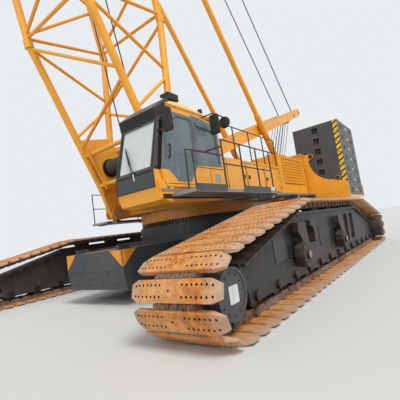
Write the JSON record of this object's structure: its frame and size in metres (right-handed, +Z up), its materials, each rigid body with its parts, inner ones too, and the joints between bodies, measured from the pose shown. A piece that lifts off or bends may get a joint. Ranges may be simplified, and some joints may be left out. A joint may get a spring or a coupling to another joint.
{
  "type": "crawler crane",
  "caption": "Crawler crane with a short lattice boom, a rear mast with pendants, telescoping backstops, a glazed cab, side housings and stacked counterweights.",
  "frame": {"origin": "middle of the whole crane's box on the ground, in the middle plane", "axes": "+X the way the boom points, +Y the crane's left side, +Z up"},
  "size_m": [18.3784, 8.7, 25.3337],
  "materials": {
    "painted_yellow": "weathered yellow paint with rust at the edges",
    "painted_dark": "dark paint, dusty",
    "painted_slate": "blue-grey paint, scratched",
    "bare_steel": "worn galvanised steel",
    "rusty_track": "rusty cast steel with dried mud",
    "window_glass": "tinted glass",
    "seat_fabric": "blue cloth"
  },
  "bodies": {
    "undercarriage": {"carbody": "painted_dark", "ballast_blocks": "painted_slate", "ring_lower": "painted_dark", "crawler_frame_left": "painted_slate", "crawler_frame_right": "painted_slate", "track_left": "rusty_track", "track_right": "rusty_track", "idlers": "painted_slate", "drive_wheels": "painted_slate", "rollers": "painted_dark", "side_lugs": "painted_dark"},
    "superstructure": {"ring_upper": "painted_yellow", "main_frame": "painted_yellow", "cab_shell": "painted_yellow", "cab_roof": "painted_yellow", "cab_glass": "window_glass", "cab_seat": "seat_fabric", "mirrors": "painted_dark", "housing_left": "painted_yellow", "housing_right": "painted_yellow", "engine": "painted_dark", "walkways": "bare_steel", "railings": "painted_dark", "counterweight_frame": "painted_yellow", "counterweight_slabs": "painted_slate"},
    "cab_door": {"cab_door": "painted_yellow", "door_glass": "window_glass"},
    "housing_door_left": {"housing_door_left": "painted_yellow"},
    "housing_door_right": {"housing_door_right": "painted_yellow"},
    "luffing_drum": {"luffing_drum": "painted_dark"},
    "second_drum": {"second_drum": "painted_dark"},
    "mast": {"mast": "painted_yellow", "mast_block": "painted_dark"},
    "frame_block": {"frame_block": "painted_dark"},
    "boom": {"boom_foot": "painted_yellow", "boom_middle": "painted_yellow", "boom_head": "painted_yellow", "pendants": "bare_steel"},
    "main_drum": {"main_drum": "painted_dark"},
    "head_sheaves": {"head_sheaves": "painted_dark"},
    "backstop_sleeves": {"backstop_sleeves": "painted_yellow"},
    "backstop_middles": {"backstop_middles": "painted_yellow"},
    "backstop_uppers": {"backstop_uppers": "painted_yellow"},
    "hook_block": {"hook_block": "painted_dark"},
    "hook": {"hook": "painted_dark"}
  },
  "joints": [
    {"name": "slew", "type": "hinge", "parent": "undercarriage", "child": "superstructure", "pos_m": [0.63538, 0, 1.69], "axis": [0, 0, 1], "continuous": true},
    {"name": "cab_door_slide", "type": "slide", "parent": "superstructure", "child": "cab_door", "axis": [-1, 0, 0], "range_m": [0, 0.76]},
    {"name": "housing_door_left_hinge", "type": "hinge", "parent": "superstructure", "child": "housing_door_left", "pos_m": [-0.92462, 2.244, 2.5], "axis": [0, 0, 1], "range_deg": [0, 110]},
    {"name": "housing_door_right_hinge", "type": "hinge", "parent": "superstructure", "child": "housing_door_right", "pos_m": [-0.92462, -2.244, 2.5], "axis": [0, 0, -1], "range_deg": [0, 110]},
    {"name": "luffing_drum_spin", "type": "hinge", "parent": "superstructure", "child": "luffing_drum", "pos_m": [-1.71462, 0, 2.422], "axis": [0, 1, 0], "continuous": true},
    {"name": "second_drum_spin", "type": "hinge", "parent": "superstructure", "child": "second_drum", "pos_m": [0.33538, 0, 2.422], "axis": [0, 1, 0], "continuous": true},
    {"name": "boom_luff", "type": "hinge", "parent": "superstructure", "child": "boom", "pos_m": [2.88538, 0, 2.1], "axis": [0, -1, 0], "range_deg": [-49, 6]},
    {"name": "mast_luff", "type": "hinge", "parent": "superstructure", "child": "mast", "pos_m": [1.93538, 0, 3.1], "axis": [0, -1, 0], "range_deg": [-55.08, 6.82]},
    {"name": "frame_block_swivel", "type": "hinge", "parent": "superstructure", "child": "frame_block", "pos_m": [-5.39462, 0, 2.64], "axis": [0, -1, 0], "range_deg": [-59, 7.3]},
    {"name": "backstop_tilt", "type": "hinge", "parent": "superstructure", "child": "backstop_sleeves", "pos_m": [-5.21462, 0, 2.76], "axis": [0, -1, 0], "range_deg": [-32.54, 4.06]},
    {"name": "backstop_middle_slide", "type": "slide", "parent": "backstop_sleeves", "child": "backstop_middles", "axis": [0.6026, 0, 0.798], "range_m": [-0.3032, 2.4046]},
    {"name": "backstop_upper_slide", "type": "slide", "parent": "backstop_middles", "child": "backstop_uppers", "axis": [0.6026, 0, 0.798], "range_m": [-0.3032, 2.4046]},
    {"name": "main_drum_spin", "type": "hinge", "parent": "boom", "child": "main_drum", "pos_m": [3.12389, 0, 3.32703], "axis": [0, 1, 0], "continuous": true},
    {"name": "head_sheaves_spin", "type": "hinge", "parent": "boom", "child": "head_sheaves", "pos_m": [8.77505, 0, 24.53846], "axis": [0, 1, 0], "continuous": true},
    {"name": "hook_block_swing", "type": "hinge", "parent": "boom", "child": "hook_block", "pos_m": [8.77505, 0, 24.53846], "axis": [0, -1, 0], "range_deg": [-6.1, 49.2]},
    {"name": "hook_swivel", "type": "hinge", "parent": "hook_block", "child": "hook", "pos_m": [8.77505, 0, 17.33846], "axis": [0, 0, 1], "continuous": true}
  ],
  "couplings": [
    {"joint": "mast_luff", "follows": "boom_luff", "ratio": 1.12},
    {"joint": "frame_block_swivel", "follows": "boom_luff", "ratio": 1.2},
    {"joint": "backstop_tilt", "follows": "boom_luff", "ratio": 0.66},
    {"joint": "backstop_middle_slide", "follows": "boom_luff", "m_per_rad": -2.8},
    {"joint": "backstop_upper_slide", "follows": "boom_luff", "m_per_rad": -2.8},
    {"joint": "hook_block_swing", "follows": "boom_luff", "ratio": -1}
  ]
}
